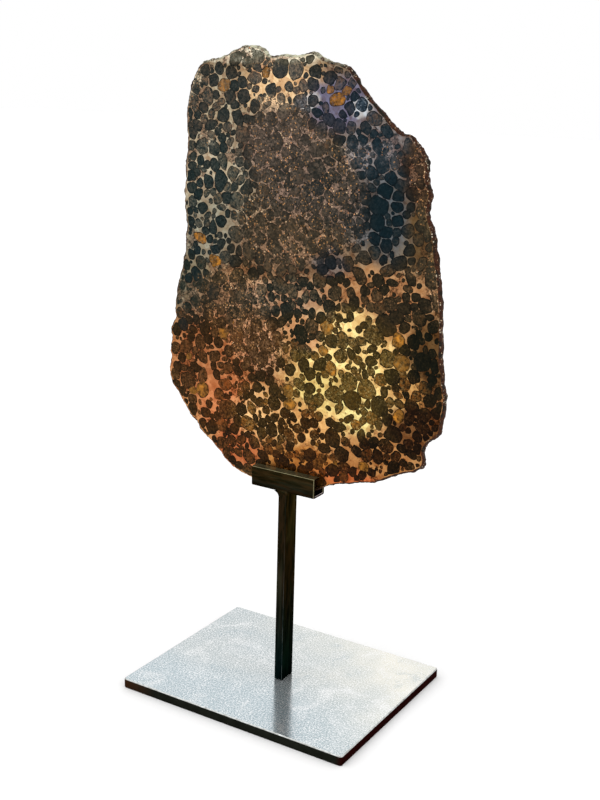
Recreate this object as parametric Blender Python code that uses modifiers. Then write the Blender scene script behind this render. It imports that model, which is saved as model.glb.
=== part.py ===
"""A polished pallasite meteorite slice standing in a slotted steel tube on a post and plate.

Metres, +Z up. The origin is the centre of the base plate's underside. X runs along the plate's
long side and the slice's width, and the slice's shown face looks along -Y.
"""

from math import cos, pi, radians, sin

import bmesh
import bpy
from mathutils import Matrix, Vector, noise

MM = 0.001

# Base plate: quarter-inch plate
PLATE_LENGTH = 160 * MM
PLATE_WIDTH = 127 * MM
PLATE_THICKNESS = 6.35 * MM
PLATE_CORNER_RADIUS = 1.8 * MM
PLATE_CORNER_STEPS = 4
PLATE_EDGE_BEVEL = 0.6 * MM

# Holder: half-inch square tube, its top wall cut back to a front strip
TUBE_SIDE = 12.7 * MM
TUBE_WALL = 1.4 * MM
TUBE_CORNER_RADIUS = 1.2 * MM
TUBE_INNER_RADIUS = 0.5 * MM
HOLDER_LENGTH = 44.7 * MM
HOLDER_CENTRE_X = 1.75 * MM
HOLDER_BOTTOM = 133.5 * MM
HOLDER_BACK = 3.2 * MM

# Post: flat bar, as deep as the tube
POST_WIDTH = 5.4 * MM
POST_CENTRE_X = 2.0 * MM
POST_EDGE_BEVEL = 0.5 * MM
LEFT_FILLET_RADIUS = 3.4 * MM
RIGHT_FILLET_RADIUS = 0.9 * MM

# Slice
SLICE_THICKNESS = 4.7 * MM
GAP = 0.3 * MM
RIM_ROWS = 4
RIM_CHAMFER = 0.7 * MM
RIM_BULGE = 0.5 * MM
RIM_ROUGHNESS = 0.9 * MM
RIM_LUMP_SIZE = 6.0 * MM
RIM_CHIP_ROUGHNESS = 0.45 * MM
RIM_CHIP_SIZE = 2.4 * MM
RIM_CHAMFER_SHARPNESS = 8
FOOT_FADE = 9.0 * MM

ARC_STEPS = 5
CURVE_STEPS = 3
BEVEL_STEPS = 2
BEVEL_ANGLE = radians(40)
WELD_DISTANCE = 0.01 * MM

# Places that follow from the sizes above
HOLDER_FRONT = HOLDER_BACK - TUBE_SIDE
HOLDER_TOP = HOLDER_BOTTOM + TUBE_SIDE
DEPTH_CENTRE = (HOLDER_FRONT + HOLDER_BACK) / 2
SLICE_BACK = HOLDER_BACK - TUBE_WALL - GAP
SLICE_FRONT = SLICE_BACK - SLICE_THICKNESS
SLICE_REST = HOLDER_BOTTOM + TUBE_WALL + GAP

# The slice's outline as (across, height above the edge it rests on), clockwise from the foot.
# Its first and last points bound the flat that stands on the tube's floor.
SLICE_OUTLINE_MM = (
    (-18, 0), (-30, 1.9), (-43.3, 7.2), (-51, 14), (-59.2, 21), (-63.3, 23.7), (-67.5, 29.5),
    (-73, 33.7), (-80, 43.5), (-88, 54.8), (-89, 59.5), (-88.1, 68.5), (-88.6, 74), (-87.3, 80),
    (-87.4, 87.5), (-84.4, 95), (-84.8, 103.5), (-79.6, 126), (-76.4, 141), (-76.5, 148),
    (-75.2, 155.5), (-77.2, 165), (-77.3, 173.5), (-76.2, 189), (-75, 203.5), (-75.8, 212),
    (-74.8, 228.5), (-70.2, 241), (-66, 247.5), (-61.5, 250.3), (-55, 251), (-48, 253.5),
    (-40, 257), (-34.6, 258.5), (-22, 257.2), (-18.5, 253.8), (-9.6, 254.5), (0, 254),
    (10, 256.1), (17, 253.2), (21, 251.5), (29, 250), (36, 247), (39.5, 242), (48, 232),
    (57.5, 224), (63, 218.2), (69, 215.2), (74.5, 213.6), (77.5, 210), (80.8, 208),
    (84.2, 197.5), (84.9, 190.5), (86.9, 184), (85.6, 174), (90.3, 162.5), (92.4, 150),
    (95.6, 134), (98, 112), (99, 92), (102.4, 74.5), (101, 55), (99.9, 50.9), (93.6, 46),
    (91.2, 40), (91.8, 32.5), (89.3, 28.9), (77, 24), (66, 17.8), (60, 15.1), (45, 11.7),
    (32, 7.4), (27.5, 5.4), (22, 1.8), (16, 0),
)


def clear_scene():
    for obj in list(bpy.data.objects):
        bpy.data.objects.remove(obj, do_unlink=True)


def new_collection(name):
    collection = bpy.data.collections.new(name)
    bpy.context.scene.collection.children.link(collection)
    return collection


def principled(name, colour, roughness, metallic):
    material = bpy.data.materials.new(name)
    material.use_nodes = True
    shader = material.node_tree.nodes["Principled BSDF"]
    shader.inputs["Base Color"].default_value = (*colour, 1)
    shader.inputs["Roughness"].default_value = roughness
    shader.inputs["Metallic"].default_value = metallic
    return material


def add_object(name, mesh, collection, material):
    obj = bpy.data.objects.new(name, mesh)
    obj.data.materials.append(material)
    collection.objects.link(obj)
    return obj


def add_bevel(obj, width):
    bevel = obj.modifiers.new("edge", "BEVEL")
    bevel.width = width
    bevel.segments = BEVEL_STEPS
    bevel.limit_method = "ANGLE"
    bevel.angle_limit = BEVEL_ANGLE


def arc(centre_x, centre_y, radius, start, end):
    """Points along an arc, with its angles in degrees."""
    angles = (radians(start + (end - start) * step / ARC_STEPS) for step in range(ARC_STEPS + 1))
    return [(centre_x + radius * cos(angle), centre_y + radius * sin(angle)) for angle in angles]


def extruded(name, points, thickness, smooth_points=False):
    """A mesh of the closed outline in XY, extruded to both sides along Z by half the thickness."""
    curve = bpy.data.curves.new(name, "CURVE")
    curve.dimensions = "2D"
    curve.fill_mode = "BOTH"
    curve.extrude = thickness / 2
    curve.resolution_u = CURVE_STEPS
    spline = curve.splines.new("BEZIER" if smooth_points else "POLY")
    if smooth_points:
        spline.bezier_points.add(len(points) - 1)
        for bezier_point, (x, y) in zip(spline.bezier_points, points):
            bezier_point.co = (x, y, 0)
            bezier_point.handle_left_type = "AUTO"
            bezier_point.handle_right_type = "AUTO"
        spline.bezier_points[0].handle_left_type = "VECTOR"
        spline.bezier_points[-1].handle_right_type = "VECTOR"
    else:
        spline.points.add(len(points) - 1)
        for poly_point, (x, y) in zip(spline.points, points):
            poly_point.co = (x, y, 0, 1)
    spline.use_cyclic_u = True
    guide = bpy.data.objects.new(name, curve)
    bpy.context.scene.collection.objects.link(guide)
    bpy.context.view_layer.update()
    graph = bpy.context.evaluated_depsgraph_get()
    mesh = bpy.data.meshes.new_from_object(guide.evaluated_get(graph))
    bpy.data.objects.remove(guide)
    weld(mesh)
    return mesh


def weld(mesh):
    bm = bmesh.new()
    bm.from_mesh(mesh)
    bmesh.ops.remove_doubles(bm, verts=bm.verts, dist=WELD_DISTANCE)
    bmesh.ops.recalc_face_normals(bm, faces=bm.faces)
    bm.to_mesh(mesh)
    bm.free()


def make_base_plate(collection):
    bm = bmesh.new()
    size = Matrix.Diagonal((PLATE_LENGTH, PLATE_WIDTH, PLATE_THICKNESS, 1))
    lift = Matrix.Translation((0, 0, PLATE_THICKNESS / 2))
    bmesh.ops.create_cube(bm, size=1, matrix=lift @ size)
    corners = [edge for edge in bm.edges if edge.verts[0].co.xy == edge.verts[1].co.xy]
    bmesh.ops.bevel(
        bm,
        geom=corners,
        offset=PLATE_CORNER_RADIUS,
        segments=PLATE_CORNER_STEPS,
        profile=0.5,
        affect="EDGES",
    )
    mesh = bpy.data.meshes.new("base_plate")
    bm.to_mesh(mesh)
    bm.free()
    steel = principled("satin_steel", (0.62, 0.65, 0.67), 0.35, 1.0)
    plate = add_object("base_plate", mesh, collection, steel)
    add_bevel(plate, PLATE_EDGE_BEVEL)


def post_outline():
    """The bar's front view, from its foot, with the weld's hollow fillets under the tube."""
    left = POST_CENTRE_X - POST_WIDTH / 2
    right = POST_CENTRE_X + POST_WIDTH / 2
    foot = PLATE_THICKNESS + GAP
    top = HOLDER_BOTTOM - GAP
    outline = [(left, foot), (right, foot)]
    outline += arc(
        right + RIGHT_FILLET_RADIUS, top - RIGHT_FILLET_RADIUS, RIGHT_FILLET_RADIUS, 180, 90
    )
    outline += arc(
        left - LEFT_FILLET_RADIUS, top - LEFT_FILLET_RADIUS, LEFT_FILLET_RADIUS, 90, 0
    )
    return outline


def make_post(collection):
    mesh = extruded("post", post_outline(), TUBE_SIDE)
    upright = Matrix.Rotation(pi / 2, 4, "X")
    mesh.transform(Matrix.Translation((0, DEPTH_CENTRE, 0)) @ upright)
    steel = principled("post_steel", (0.035, 0.035, 0.03), 0.42, 0.85)
    post = add_object("post", mesh, collection, steel)
    add_bevel(post, POST_EDGE_BEVEL)


def tube_section():
    """The tube's open section in YZ: round the outside, then back round the inside."""
    outer = TUBE_CORNER_RADIUS
    inner = TUBE_INNER_RADIUS
    front = HOLDER_FRONT
    back = HOLDER_BACK
    strip_edge = SLICE_FRONT - GAP
    section = [(strip_edge, HOLDER_TOP)]
    section += arc(front + outer, HOLDER_TOP - outer, outer, 90, 180)
    section += arc(front + outer, HOLDER_BOTTOM + outer, outer, 180, 270)
    section += arc(back - outer, HOLDER_BOTTOM + outer, outer, 270, 360)
    section += [(back, HOLDER_TOP), (back - TUBE_WALL, HOLDER_TOP)]
    wall_front = front + TUBE_WALL
    wall_back = back - TUBE_WALL
    floor = HOLDER_BOTTOM + TUBE_WALL
    ceiling = HOLDER_TOP - TUBE_WALL
    section += arc(wall_back - inner, floor + inner, inner, 360, 270)
    section += arc(wall_front + inner, floor + inner, inner, 270, 180)
    section += arc(wall_front + inner, ceiling - inner, inner, 180, 90)
    section += [(strip_edge, ceiling)]
    return section


def make_holder(collection):
    mesh = extruded("holder", tube_section(), HOLDER_LENGTH)
    section_to_yz = Matrix(((0, 0, 1, HOLDER_CENTRE_X), (1, 0, 0, 0), (0, 1, 0, 0), (0, 0, 0, 1)))
    mesh.transform(section_to_yz)
    steel = principled("holder_steel", (0.07, 0.06, 0.045), 0.45, 0.85)
    add_object("holder", mesh, collection, steel)


def rim_offset(depth_share, point):
    """How far a point of the broken rim stands out from the outline."""
    edge = abs(2 * depth_share - 1)
    offset = RIM_BULGE * (1 - edge**2) - RIM_CHAMFER * edge**RIM_CHAMFER_SHARPNESS
    offset += RIM_ROUGHNESS * noise.noise(point / RIM_LUMP_SIZE)
    offset += RIM_CHIP_ROUGHNESS * noise.noise(point / RIM_CHIP_SIZE)
    return offset


def roughen_rim(mesh):
    """Gives the slab's straight rim several rows of points and moves each row in or out."""
    bm = bmesh.new()
    bm.from_mesh(mesh)
    across = [edge for edge in bm.edges if abs(edge.verts[0].co.z - edge.verts[1].co.z) > MM]
    bmesh.ops.subdivide_edges(bm, edges=across, cuts=RIM_ROWS, use_grid_fill=True)
    bm.normal_update()
    moves = {}
    for vert in bm.verts:
        outward = Vector((vert.normal.x, vert.normal.y, 0)).normalized()
        fade = min(1, max(0, vert.co.y / FOOT_FADE))
        depth_share = vert.co.z / SLICE_THICKNESS + 0.5
        moves[vert] = outward * fade * rim_offset(depth_share, vert.co)
    for vert, move in moves.items():
        vert.co += move
    bm.to_mesh(mesh)
    bm.free()


def make_slice(collection):
    outline = [(x * MM, height * MM) for x, height in SLICE_OUTLINE_MM]
    mesh = extruded("slice", outline, SLICE_THICKNESS, smooth_points=True)
    roughen_rim(mesh)
    upright = Matrix.Rotation(pi / 2, 4, "X")
    centre = Vector((0, (SLICE_FRONT + SLICE_BACK) / 2, SLICE_REST))
    mesh.transform(Matrix.Translation(centre) @ upright)
    weld(mesh)
    add_object("slice", mesh, collection, principled("pallasite", (0.12, 0.09, 0.06), 0.3, 0.4))


def main():
    clear_scene()
    parts = new_collection("pallasite_meteorite_slice")
    make_base_plate(parts)
    make_post(parts)
    make_holder(parts)
    make_slice(parts)


main()
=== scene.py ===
"""Looks of a polished pallasite meteorite slice in a slotted steel tube on a post and plate."""

from math import atan2, cos, hypot, pi, radians, sin, sqrt
from random import Random

import bmesh
import bpy
import numpy as np
from bpy.props import (
    FloatProperty,
    FloatVectorProperty,
    IntProperty,
    PointerProperty,
)
from mathutils import Matrix, Vector, noise


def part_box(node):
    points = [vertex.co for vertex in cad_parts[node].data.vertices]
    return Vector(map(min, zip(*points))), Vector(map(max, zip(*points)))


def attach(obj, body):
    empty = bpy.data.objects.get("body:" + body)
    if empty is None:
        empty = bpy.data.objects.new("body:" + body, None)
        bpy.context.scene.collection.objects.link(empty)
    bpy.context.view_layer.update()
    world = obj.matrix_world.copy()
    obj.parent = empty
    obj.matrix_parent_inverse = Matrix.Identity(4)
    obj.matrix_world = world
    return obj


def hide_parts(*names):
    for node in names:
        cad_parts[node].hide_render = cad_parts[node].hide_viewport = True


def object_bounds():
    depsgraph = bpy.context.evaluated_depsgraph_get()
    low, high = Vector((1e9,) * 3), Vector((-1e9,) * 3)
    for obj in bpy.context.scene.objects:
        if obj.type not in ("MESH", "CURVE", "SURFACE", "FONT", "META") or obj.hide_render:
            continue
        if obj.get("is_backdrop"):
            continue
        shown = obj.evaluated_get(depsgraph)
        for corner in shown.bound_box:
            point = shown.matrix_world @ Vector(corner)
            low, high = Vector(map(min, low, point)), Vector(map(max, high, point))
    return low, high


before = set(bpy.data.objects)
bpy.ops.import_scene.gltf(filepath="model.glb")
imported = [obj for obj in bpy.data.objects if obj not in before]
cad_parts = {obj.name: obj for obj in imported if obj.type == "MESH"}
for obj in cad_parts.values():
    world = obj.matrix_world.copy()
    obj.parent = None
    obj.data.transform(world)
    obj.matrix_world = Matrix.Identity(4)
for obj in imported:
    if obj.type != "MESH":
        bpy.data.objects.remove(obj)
CAD_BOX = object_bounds()

bl_info = {
    "name": "Pallasite meteorite slice",
    "version": (1, 0, 0),
    "blender": (4, 5, 0),
    "location": "3D View > Sidebar > Pallasite",
    "description": "Builds a polished pallasite slice and its welded steel stand",
    "category": "Add Mesh",
}

MM = 0.001
BODY = "root"

# Photograph's viewpoint: the camera's place, and its right, up and forward directions
CAMERA_PLACE = (0.36828, -0.59093, 0.38688)
CAMERA_RIGHT = (0.84900561, 0.52772923, 0.0262933)
CAMERA_UP = (-0.16539267, 0.21816213, 0.96179548)
CAMERA_FORWARD = (-0.50183138, 0.82091848, -0.27250341)
CAMERA_LENS_MM = 53.897
SENSOR_MM = 36

# Studio floor, from its middle to its sides in metres
FLOOR_REACH = 6

# Slice: its rim's lumps are given by size and height in mm, and are lower at the polished faces
RIM_CUTS = 3
RIM_LUMPS = ((3.1, 0.5), (1.3, 0.34), (0.6, 0.2))
RIM_AT_FACE = 0.6
FACE_RECESS = 0.1 * MM
FLAT_NORMAL = 0.995

# Meshes of all pieces
MERGE_DISTANCE = 0.01 * MM
FLAT_ANGLE = radians(0.4)
SHARP_ANGLE = radians(38)
FLAT_AREA = 100 * MM * MM

# Crystal inlays: how deep they are set, how far their borders dip and their tops stand proud
INLAY_DEPTH = 0.45 * MM
INLAY_SUNK = 0.012 * MM
INLAY_PROUD = 0.06 * MM
INLAY_DOME = 0.02 * MM
INLAY_UNEVEN = 0.4 * INLAY_DOME
INLAY_NOISE_STEP = 7.31
LEAST_CRYSTALS = 300

# Shade of a crystal from its border (0) to its middle (1): on a shared border, and on the inner ring
CONTACT_CORE = 0.36
RING_CORE = 0.4

# Crowding: shares of a crystal's radius, and open metal where a slow noise is above a level
OVERLAP = 0.62
GROWTH = 1.35
EDGE_SHARE = 0.45
OPEN_NOISE = 0.13
OPEN_SIZE_MM = 7.5
FAR_MM = 99.0

# Small crystals, by radius in mm, may lie in an open pool, at this chance. The pool's core is a share
# of its size, and the back has every second pool of the front, moved by so much in mm
SMALL_RADIUS = 1.3
POOL_CHANCE = 0.3
POOL_CORE = 0.8
BACK_POOLS = (9, -6)

# Drawn crystals: how long they may be, and the draws above which they are golden or brown
STRETCH = 0.36
STRETCH_POWER = 1.6
GOLDEN_OVER = 0.985
GOLDEN_BELOW = 262
BROWN_OVER = 0.54

# Outlines: how square and how full they are, and their ripples' depth and number
ROUNDNESS = 12
FULLNESS = 1.26
RIPPLE = 0.18
RIPPLE_BENDS = 1.6

# Facets of an outline: how many, how far each sways from its even place, and its share of the reach
FACET_COUNTS = (5, 6, 7)
FACET_SWAY = 0.25
FACET_REACH = (1.0, 1.34)

# How far off a neighbour or the slice's edge still cuts a crystal, and the least that is left of it.
# The edge cuts it on several sides only where they differ by more than the angle with this cosine
TOUCH_SHARE = 1.12
LEAST_TO_CRYSTAL = 0.3
EDGE_MARGIN_MM = 0.45
EDGE_REACH = 1.4
EDGE_WALLS = 3
EDGE_WALLS_APART = 0.7
LEAST_TO_EDGE = 0.12

# Gap between touching crystals: its noise per mm and layer, and its spread and lowering in films
GAP_NOISE = 1.7
GAP_LAYER = 5
GAP_SPREAD = 2.4
GAP_LOWERING = 0.45

# How far touching crystals run into each other: two heights in mm, and the share at each
CONTACT_REACH = ((250, 290), (0.09, 0.015))

# Holder
HOLDER_WALL = 1.4 * MM
HOLDER_EDGE = 0.5 * MM

# Post and its welds: the ground weld's width, depth and height, and the bead's ripples
POST_MIDDLE = 2.0 * MM
POST_WIDTH = 5.4 * MM
GROUND_WELD = (7.2 * MM, 1.2 * MM, 2.6 * MM)
WELD_PROUD = 0.05 * MM
WELD_ROUNDING = 0.3 * MM
WELD_SAG = 0.4 * MM
WELD_WOBBLE = 0.3 * MM
WELD_LUMP = 1.6 * MM
BEAD_RADIUS = 0.75 * MM
BEAD_STEP = 0.95 * MM
BEAD_MARGIN = 0.9 * MM
BEAD_SHARES = (0.85, 1.15)
BEAD_LEAN = (20, 50)
BEAD_FLATNESS = 0.7
BEAD_SEED = 3

# Stand: which turns of the surface are rounded, and how square to an axis a face is
TUBE_TURN = radians(30)
WELD_TURN = radians(60)
SQUARE = 0.98
HALF_SQUARE = 0.5
SLANTED = 0.3

# Steel's drawn grain: how much a pattern is drawn out along each axis
GRAIN_ALONG_X = (0.12, 1.0, 1.0)
GRAIN_ALONG_Z = (1.0, 1.0, 0.12)
NO_GRAIN = (1.0, 1.0, 1.0)

# Crystals up to a radius in mm: corners of the outline, and share of the dark border's width
OUTLINE_STEPS = ((1.2, 9, 0.55), (2.0, 12, 0.75), (3.4, 16, 1.0), (99.0, 22, 1.1))

# Colours of single details, in 0 to 255
GLINT_PALE = (240, 208, 164)
GLINT_COPPER = (226, 150, 94)
AMBER_DEEP = (70, 44, 12)
AMBER_BRIGHT = (206, 134, 44)
TEAL_TINT = (8, 30, 36)
# Flecks in the weathered olivine, painted as glints
RUSTY_GLINT = (222, 160, 98)
CRUST_RUST = (104, 60, 38)
CRYSTAL_STUB = (30, 25, 18)
TORN_METAL = (205, 176, 140)
# Pale flecks on the rim, painted as glints
CRUST_GLINT = (236, 220, 190)
# Top of the rim, painted pale as a highlight
CRUST_TOP_HIGHLIGHT = (204, 202, 174)
HOLDER_WARM = (50, 37, 18)
HOLDER_COOL = (34, 23, 10)
# The holder's worn edge and the end of its floor are painted light as highlights
HOLDER_WORN_HIGHLIGHT = (150, 142, 108)
HOLDER_CUT_HIGHLIGHT = (232, 214, 214)
# The holder's top face, painted lighter as lit from above
HOLDER_LIT_TOP = (92, 86, 60)
POST_WARM = (56, 38, 20)
POST_COOL = (4, 19, 19)
# The post's front right corner, painted lighter as a highlight
POST_EDGE_HIGHLIGHT = (56, 52, 44)
POST_EDGE_HIGHLIGHT_WARM = (46, 34, 20)
POST_EDGE_HIGHLIGHT_COOL = (92, 100, 98)
WELD_WARM = (54, 39, 20)
WELD_COOL = (40, 28, 12)
BEAD_BARE = (104, 102, 88)
# The plate's rounded top edge, painted near white as a highlight
PLATE_EDGE_HIGHLIGHT = (226, 230, 230)
# The plate's cool front is a painted reflection, its pale right and back a painted glare
PLATE_FRONT_REFLECTION = (192, 206, 212)
PLATE_RIGHT_GLARE = (250, 245, 230)
PLATE_CLOUD = (174, 191, 198)
PLATE_SHADE = (156, 177, 186)
PLATE_SPECK = (136, 150, 156)
PLATE_LEFT_END = (74, 44, 26)
# The plate's right end, dark red: painted shade over the scale
PLATE_SHADED_RIGHT_END = (44, 14, 12)
SMEAR_COOL = (26, 46, 42)
SMEAR_WARM = (76, 68, 46)

# Size classes of the crystals in mm, with how often a place is tried for each
SIZE_CLASSES = (
    (4.6, 5.6, 110),
    (3.8, 4.6, 700),
    (3.0, 3.8, 3000),
    (2.3, 3.0, 9000),
    (1.7, 2.3, 9000),
    (1.1, 1.7, 5000),
    (0.8, 1.1, 700),
)

# Crystals read off the shown face: x, z, width, height in mm, tilt in degrees, and kind
DARK, BROWN, AMBER, TEAL = 0.0, 0.45, 1.0, -0.6
SHOWN_CRYSTALS = (
    (-19.6, 379.6, 5, 7, 0, AMBER), (-20, 375.2, 4.4, 3, 0, DARK), (-48.3, 372, 11, 6.6, 8, AMBER),
    (-27.5, 376.7, 9, 7.5, 0, BROWN), (-57.5, 355, 4.2, 7.4, -8, BROWN),
    (-57.5, 343.5, 5, 5, 0, BROWN), (28, 366.7, 10, 6.8, 0, AMBER), (33.3, 371.7, 7, 5, 10, AMBER),
    (22.9, 372, 4.4, 4.2, 0, AMBER), (28.3, 383.3, 10.5, 5, -12, BROWN),
    (75.4, 298.8, 8, 7, 0, BROWN), (-65, 281.7, 10, 6, -20, AMBER), (-54, 269, 9, 7, 0, AMBER),
    (25.8, 238.3, 8.6, 9.2, 30, AMBER), (23.8, 224.2, 7, 6.4, -30, AMBER),
    (72.5, 237, 7, 10, 15, AMBER), (75, 224.5, 9, 12, 30, AMBER), (0.4, 195.5, 8.8, 8, 0, AMBER),
    (1.3, 188, 9, 7, 0, AMBER), (-63.3, 185.8, 7, 8, 0, AMBER), (-70.8, 184.6, 6, 5.4, 0, AMBER),
    (68, 174, 9, 9, 0, BROWN), (54.2, 158.8, 7, 6.4, 0, AMBER), (75.4, 193.3, 7, 8, 0, AMBER),
    (62.5, 186.7, 5, 7.4, 0, BROWN), (47.5, 183.3, 7, 6, 0, AMBER), (91, 196.7, 9, 8, 0, BROWN),
    (34.6, 157.2, 3, 4, 0, AMBER), (-35.8, 373.8, 7, 7, 0, DARK), (-44.6, 365.8, 7.4, 7.4, 0, DARK),
    (-34.6, 366.3, 8, 9.4, 0, DARK), (-60, 365, 8, 9.6, 0, BROWN), (-49.2, 355, 8.6, 8.4, 0, DARK),
    (-35.4, 344.6, 10.4, 9.6, 0, BROWN), (-39, 355, 6, 13, 20, DARK), (-27, 361, 6, 8, 0, DARK),
    (-67.5, 348.8, 7.4, 7.2, 0, DARK), (-71.3, 343.8, 8, 7, 0, DARK),
    (-55, 335.8, 9, 7.4, -15, DARK), (-60.7, 325.8, 5.4, 5.2, 0, DARK),
    (-50, 316, 9, 14, 5, DARK), (-49, 329, 6, 11, 20, BROWN), (-59.2, 315.8, 7, 10, 20, DARK),
    (-65.4, 314.6, 5.2, 5.6, 0, DARK), (-72, 311.7, 7.4, 7, 0, DARK), (-46, 308, 8, 7.4, 0, DARK),
    (-41, 322, 9, 9, 0, BROWN), (-36.5, 318.5, 7.4, 6.4, 0, BROWN),
    (5.4, 373.3, 6, 7.6, 0, BROWN), (12, 374.6, 7.4, 8.2, 0, DARK), (-3.5, 372.5, 7, 5.6, 0, BROWN),
    (38.8, 368.8, 6.6, 5, 0, TEAL), (29.6, 352.5, 8.2, 8.6, 0, DARK), (37, 352, 6, 7, 0, BROWN),
    (46.7, 352.3, 7, 7.4, 0, DARK), (38.3, 343.8, 7, 10, 0, DARK), (54.2, 343, 6.4, 9, 15, DARK),
    (27, 338, 10.6, 9, 20, DARK), (24.4, 333.6, 7.6, 6, 0, DARK), (16.7, 317.5, 10, 9, 0, TEAL),
    (15, 359.5, 9, 5, -30, TEAL), (59.6, 319.6, 9.4, 9.4, 0, TEAL), (56, 311, 13, 12.6, 20, TEAL),
    (56, 302, 12, 10, -10, TEAL), (48, 306, 8, 8, 0, DARK), (67.5, 311.5, 7, 6.6, 0, DARK),
    (68, 304, 9, 6, 0, TEAL), (62, 297, 11, 6.4, -5, TEAL),
    (64, 244.5, 11.4, 13, 60, DARK), (57, 238, 12.4, 11, 0, BROWN), (71, 250.5, 11, 8, 0, DARK),
    (15, 237.5, 9.4, 8.6, 20, BROWN), (8.3, 231.7, 8.2, 13.4, 8, DARK),
    (65.8, 225.8, 11.2, 9.4, 10, BROWN), (82, 238, 8, 8, 0, DARK), (88.3, 227.5, 11, 10, 0, DARK),
    (83.3, 218.3, 7.6, 8, 0, DARK), (75, 255.8, 10, 7, 0, DARK), (88, 259, 9.4, 8.6, 0, DARK),
    (82, 263, 5, 4.8, 0, DARK), (57.5, 261, 7.8, 7.4, 0, BROWN), (50, 263, 6, 6, 0, DARK),
    (43.3, 255, 6, 10, 10, DARK), (54, 253.8, 5.8, 5.6, 0, BROWN), (15.4, 245, 5, 7, 0, DARK),
    (5.8, 244, 5.4, 6.6, 0, DARK), (7, 251, 4.6, 4.8, 0, DARK), (8.8, 263.3, 8.4, 6, 10, DARK),
    (27, 251, 7.6, 7.8, 0, DARK), (34, 245, 5, 5.4, 0, DARK), (41, 247, 5, 6, 0, DARK),
    (-2, 244.5, 9, 11, 0, DARK), (-9.6, 243.5, 6.2, 6.8, 0, DARK), (-14, 257, 5, 5, 0, DARK),
    (36.5, 232, 7.4, 9.4, 15, BROWN), (36, 223, 9, 7, 10, BROWN), (47, 222, 6, 5, 0, BROWN),
    (-23.5, 233, 8, 9, 0, DARK), (-30, 243.5, 8, 8, 0, DARK), (5, 218.5, 8.2, 6.6, -35, BROWN),
    (29.5, 214.5, 7.4, 9, 10, AMBER), (-9.6, 186.3, 9, 8.4, 0, DARK),
    (-9.2, 194.2, 8.6, 9, 0, DARK), (15, 209, 7.4, 8, 0, DARK), (21.5, 206, 3.6, 5, 25, DARK),
    (-57.9, 177.5, 5, 6.4, 10, DARK), (-51.7, 170.8, 5, 6, 0, DARK), (-43.3, 176.7, 13, 12, 0, BROWN),
    (-38.3, 165, 7, 8, 0, DARK), (-48, 165.8, 8.4, 8.6, -30, BROWN), (-63, 207.5, 6.6, 9, 25, BROWN),
    (-65, 216.7, 7, 10, 10, BROWN), (-63.3, 195.4, 6.4, 10.4, 0, BROWN),
    (63, 166.7, 6.6, 10, 30, DARK), (74.6, 168.8, 7, 7, 0, BROWN), (54, 172.5, 7, 6.6, 0, DARK),
    (42, 208, 11, 10, 0, BROWN), (53.5, 205, 12, 11, 0, BROWN), (45, 198, 12, 10, 10, DARK),
    (62, 197, 11, 12, 0, DARK), (33, 199, 12, 9, 0, BROWN), (58, 189, 9, 8, 0, BROWN),
    (94, 205.8, 7.4, 7.6, 0, DARK), (85.4, 206.7, 7, 6.4, 0, BROWN),
    (-67.5, 273.8, 6.4, 5, 0, TEAL), (-54.2, 275.8, 8, 5, 0, TEAL),
    (-63.8, 299.6, 7.4, 7.2, 0, DARK), (-71, 303, 6, 8, 0, BROWN), (-29.6, 302.5, 9, 9, 0, DARK),
    (-38.8, 305.8, 10, 10.4, 0, BROWN), (-50, 292.9, 6.8, 6.6, 0, DARK),
    (-45, 298.3, 4, 5.4, 0, DARK), (-52.5, 305.8, 8, 6, 20, BROWN), (-45.4, 313.3, 7, 6, 0, BROWN),
    (-56, 289, 5.6, 9, 0, DARK), (-60.5, 291, 4.4, 8, 0, BROWN), (-66.5, 290.5, 5.6, 5.4, 0, BROWN),
    (-58, 281.5, 5, 5.4, 0, DARK), (-68, 259, 7, 8.6, 20, TEAL), (-74, 256, 6, 7, 0, TEAL),
    (-55.5, 250, 9, 10, 0, TEAL), (-62, 243.5, 5, 5.2, 0, DARK), (-75, 237, 7, 7, 0, DARK),
    (-68, 230.5, 6, 6.4, 0, DARK), (-78, 226, 8.2, 8.4, 0, TEAL), (-72, 219, 6, 6, 0, DARK),
)

# Pools of open metal on the shown face, where few crystals lie: x, z, half width, half height
OPEN_METAL = (
    (-45, 289, 6, 8), (-12, 376, 10, 5), (-20, 370, 5, 8), (-62, 331, 4, 6), (-46, 363, 5, 3),
    (46, 247, 8, 5), (41, 240, 7, 5), (37, 217, 4, 5), (59, 219, 5, 4), (68, 236, 4, 7),
    (-62, 203, 8, 5), (-57, 192, 7, 9), (-21, 245, 5, 5),
    (18, 371, 6, 5), (27, 360, 6, 3), (84, 268, 7, 4), (42, 264, 5, 4), (52, 226, 6, 6),
    (24, 205, 3, 3), (8, 209, 6, 4), (-5, 205, 6, 3), (38, 189, 7, 3), (53, 181, 6, 4),
    (70, 206, 5, 4), (78, 182, 5, 4), (-56, 262, 6, 4), (-50, 298, 4, 4), (8, 188, 5, 7),
    (45, 163, 6, 4), (70, 160, 5, 4), (-70, 268, 5, 3), (13, 252, 5, 3), (24, 262, 4, 3),
    (-14, 178, 6, 3), (30, 178, 5, 3), (89, 248, 4, 8), (68, 328, 4, 4), (48, 292, 4, 8),
)
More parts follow.
